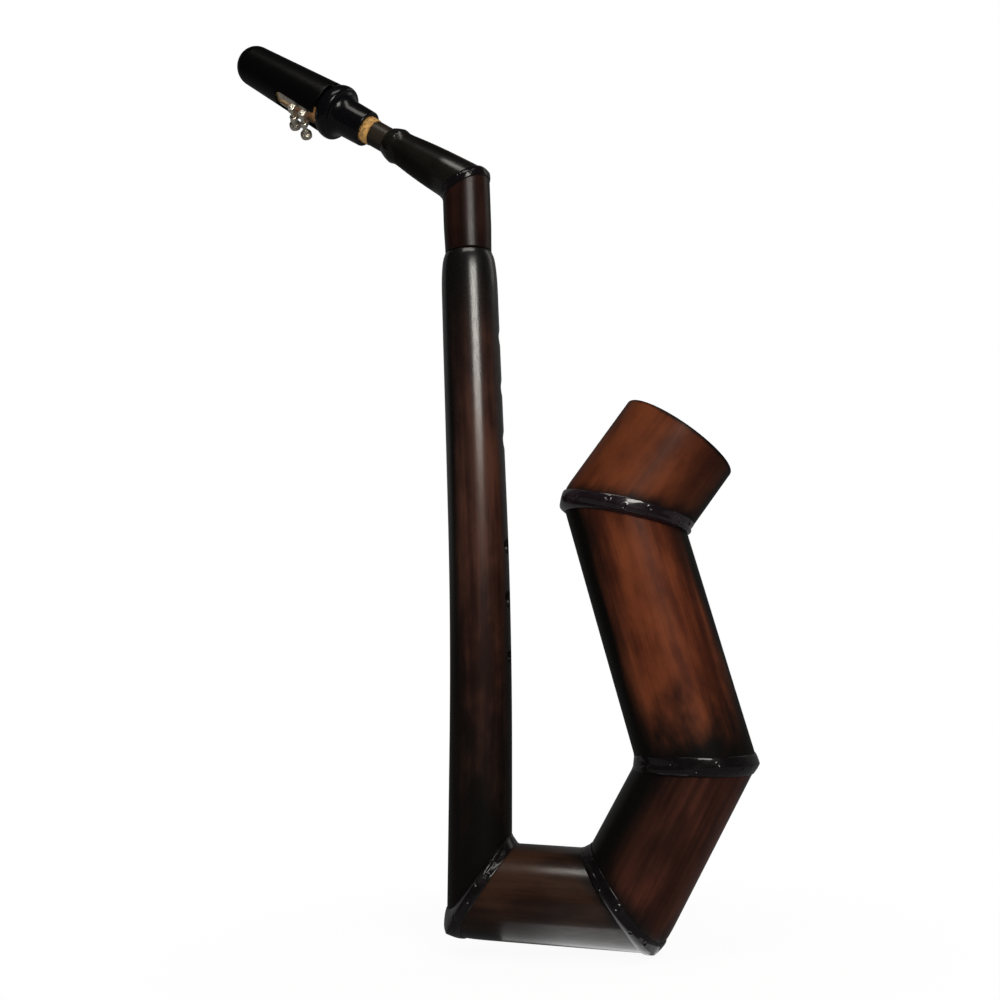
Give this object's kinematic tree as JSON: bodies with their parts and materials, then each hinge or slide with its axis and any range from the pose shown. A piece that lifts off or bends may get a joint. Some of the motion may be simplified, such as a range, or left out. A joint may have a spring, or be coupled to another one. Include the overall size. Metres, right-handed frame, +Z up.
{
  "type": "bamboo saxophone",
  "caption": "Bamboo wind instrument with finger holes, folded foot, short wide bell, swivelling corked neck and a capped single-reed mouthpiece.",
  "frame": {"origin": "on the body tube's axis, between the upper and the lower group of finger holes, where the instrument is held", "axes": "+Z up along the body tube, +X towards the bell's side, -Y towards the front"},
  "size_m": [0.3021, 0.1187, 0.5696],
  "materials": {
    "dark_bamboo": "satin lacquer",
    "brown_bamboo": "satin lacquer",
    "collar_lacquer": "gloss",
    "cork": "matt",
    "hard_rubber": "gloss",
    "cane": "matt",
    "bright_nickel": "polished",
    "cap_plastic": "satin"
  },
  "bodies": {
    "body": {"body_tube": "dark_bamboo", "bow_tube": "dark_bamboo", "bell_tube_lower": "dark_bamboo", "bell_tube_upper": "brown_bamboo", "bell": "brown_bamboo", "foot_collar": "collar_lacquer", "bow_collar": "collar_lacquer", "knee_collar": "collar_lacquer", "bell_collar": "collar_lacquer"},
    "tenon_cork": {"neck_tenon_cork": "cork"},
    "neck": {"neck_lower_tube": "dark_bamboo", "neck_elbow_collar": "collar_lacquer", "neck_upper_tube": "dark_bamboo", "neck_pipe": "dark_bamboo"},
    "pipe_cork": {"mouthpiece_cork": "cork"},
    "mouthpiece": {"mouthpiece": "hard_rubber"},
    "reed": {"reed": "cane"},
    "ligature": {"ligature_band": "bright_nickel", "ligature_barrel_rear_near": "bright_nickel", "ligature_barrel_rear_far": "bright_nickel", "ligature_barrel_front_near": "bright_nickel", "ligature_barrel_front_far": "bright_nickel"},
    "screw_rear": {"ligature_screw_rear": "bright_nickel"},
    "screw_front": {"ligature_screw_front": "bright_nickel"},
    "cap": {"mouthpiece_cap": "cap_plastic"}
  },
  "joints": [
    {"name": "neck_pull", "type": "slide", "parent": "body", "child": "tenon_cork", "axis": [0, 0, 1], "range_m": [0, 0.042]},
    {"name": "neck_swivel", "type": "hinge", "parent": "tenon_cork", "child": "neck", "pos_m": [0, 0, 0.13], "axis": [0, 0, 1], "continuous": true},
    {"name": "mouthpiece_turn", "type": "hinge", "parent": "neck", "child": "pipe_cork", "pos_m": [-0.06109, 0.01985, 0.23699], "axis": [-0.7733, 0.2513, 0.5821], "continuous": true},
    {"name": "mouthpiece_tuning", "type": "slide", "parent": "pipe_cork", "child": "mouthpiece", "axis": [-0.7733, 0.2513, 0.5821], "range_m": [-0.005, 0.027]},
    {"name": "reed_place", "type": "slide", "parent": "mouthpiece", "child": "reed", "axis": [-0.7733, 0.2513, 0.5821], "range_m": [-0.0008, 0.0006]},
    {"name": "ligature_place", "type": "slide", "parent": "mouthpiece", "child": "ligature", "axis": [-0.7733, 0.2513, 0.5821], "range_m": [-0.003, 0.0015]},
    {"name": "screw_rear_turn", "type": "hinge", "parent": "ligature", "child": "screw_rear", "pos_m": [-0.10286, 0.02502, 0.24729], "axis": [0.024, 0.9291, -0.3691], "range_deg": [0, 720]},
    {"name": "screw_front_turn", "type": "hinge", "parent": "ligature", "child": "screw_front", "pos_m": [-0.10975, 0.02726, 0.25247], "axis": [0.024, 0.9291, -0.3691], "range_deg": [0, 720]},
    {"name": "cap_pull", "type": "slide", "parent": "mouthpiece", "child": "cap", "axis": [-0.7733, 0.2513, 0.5821], "range_m": [0, 0.09]}
  ]
}
